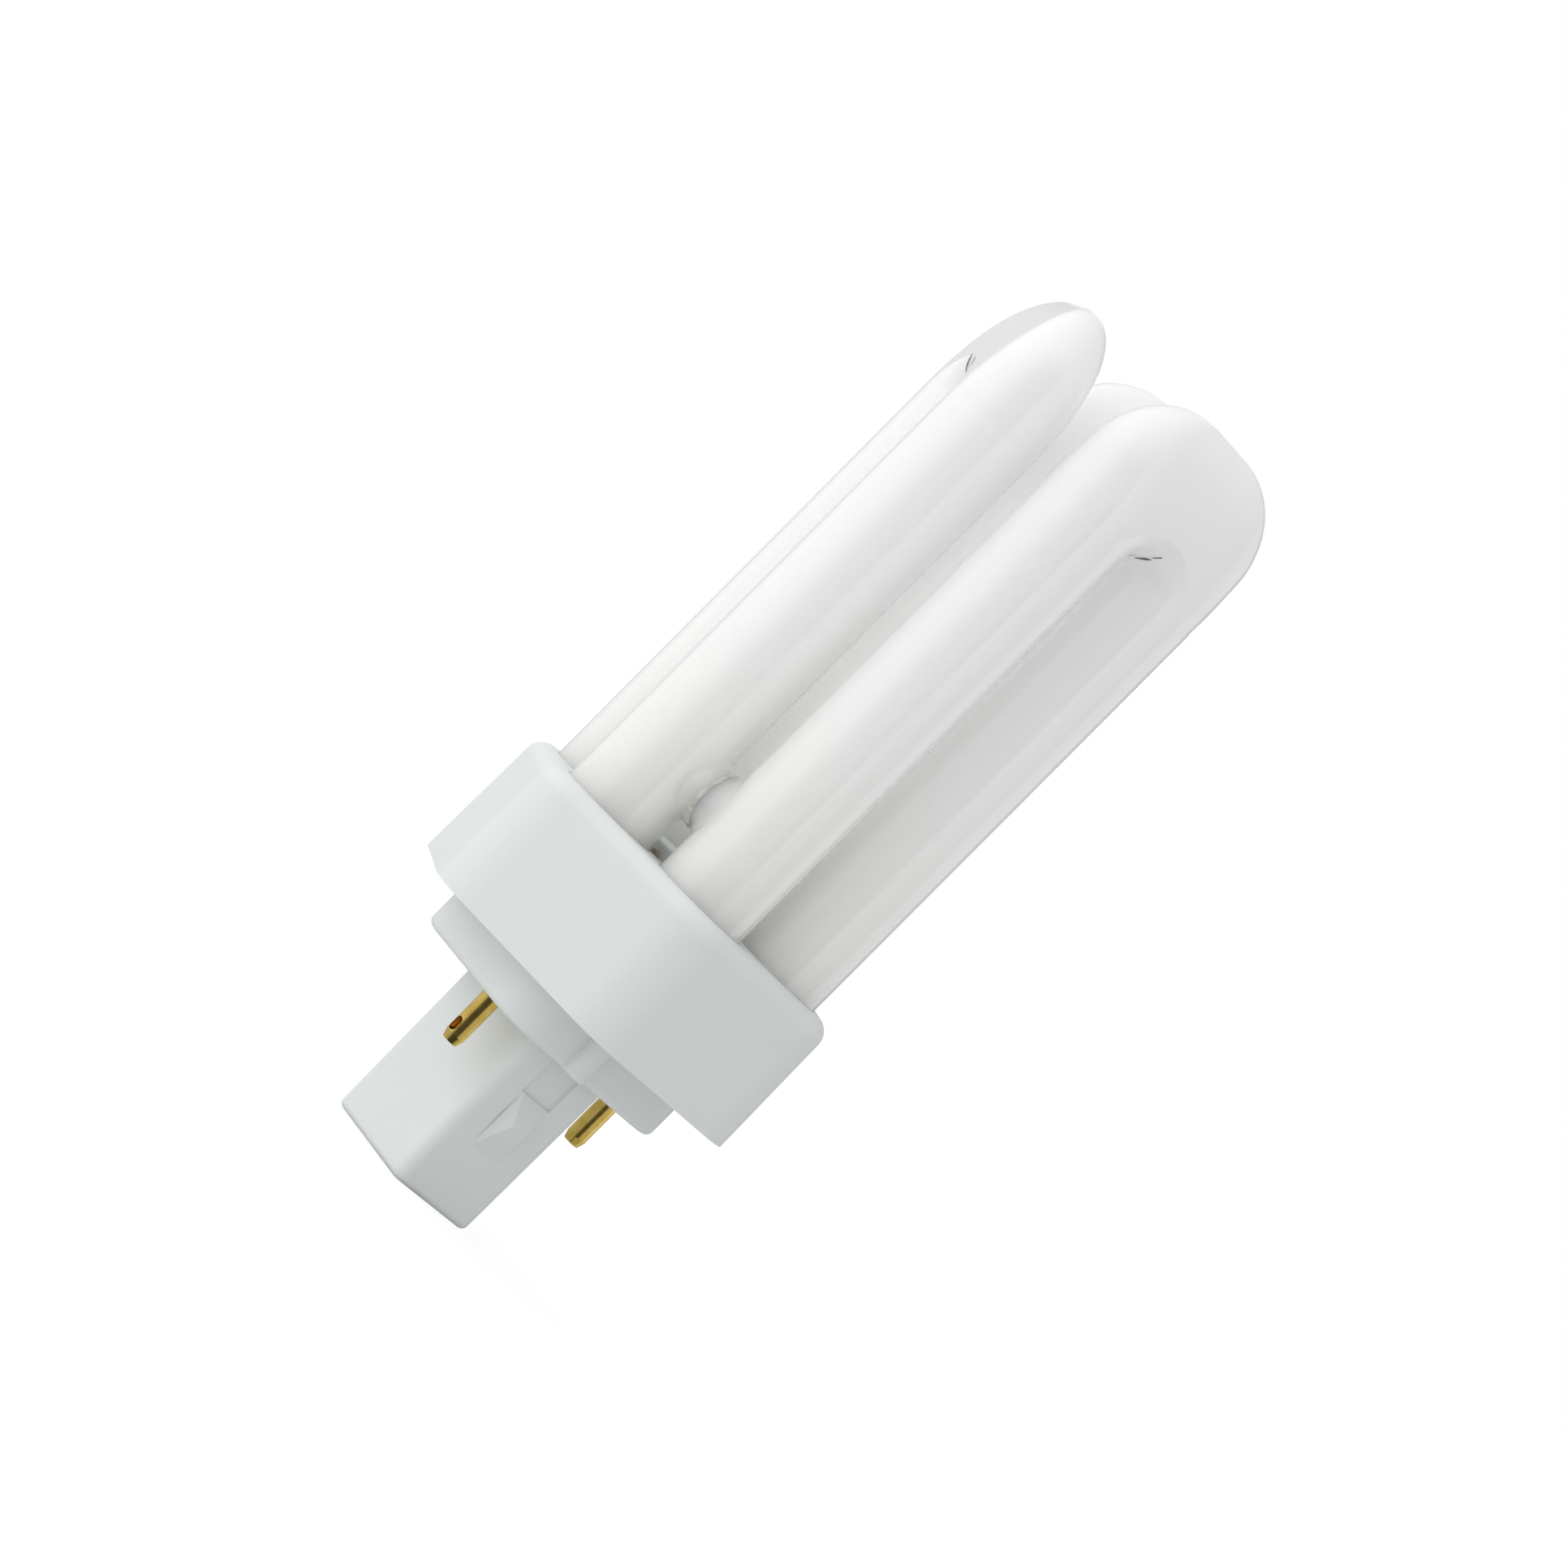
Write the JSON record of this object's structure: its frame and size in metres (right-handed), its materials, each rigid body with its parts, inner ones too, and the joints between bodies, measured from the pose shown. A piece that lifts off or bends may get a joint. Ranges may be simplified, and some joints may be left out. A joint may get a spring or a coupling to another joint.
{
  "type": "two pin compact fluorescent lamp",
  "caption": "Plug-in compact fluorescent lamp: bent white glass tubes side by side on a hexagonal plastic cap, with a collar, a square post and brass contact pins.",
  "frame": {"origin": "centre of the end face of the plug post, on which the lamp stands upright", "axes": "+Z along the lamp to the tops of the tubes; X along the line through both contact pins; the pins and the key rib are on the -Y side"},
  "size_m": [0.0482, 0.0436, 0.12],
  "materials": {
    "coated_glass": "clear glass over a white powder coating, glossy",
    "white_plastic": "fine satin moulding, slightly cool white",
    "pin_brass": "turned, bright",
    "cement": "dull baked cement",
    "clear_glass": "clear",
    "capacitor_coat": "dipped resin",
    "copper_wire": "drawn copper",
    "splice_metal": "crimped",
    "sleeve_fibre": "woven glass fibre"
  },
  "bodies": {
    "root": {"front_tube": "coated_glass", "right_tube": "coated_glass", "left_tube": "coated_glass", "cap_shell": "white_plastic", "plug_base": "white_plastic", "tube_cement": "cement", "starter_bulb": "clear_glass", "starter_capacitor": "capacitor_coat", "left_contact_pin": "pin_brass", "left_splice": "splice_metal", "left_starter_lead": "copper_wire", "left_capacitor_lead": "copper_wire", "left_inner_lead": "copper_wire", "left_pin_lead": "copper_wire", "left_lead_sleeve": "sleeve_fibre", "right_contact_pin": "pin_brass", "right_splice": "splice_metal", "right_starter_lead": "copper_wire", "right_capacitor_lead": "copper_wire", "right_inner_lead": "copper_wire", "right_pin_lead": "copper_wire", "right_lead_sleeve": "sleeve_fibre"}
  },
  "joints": []
}
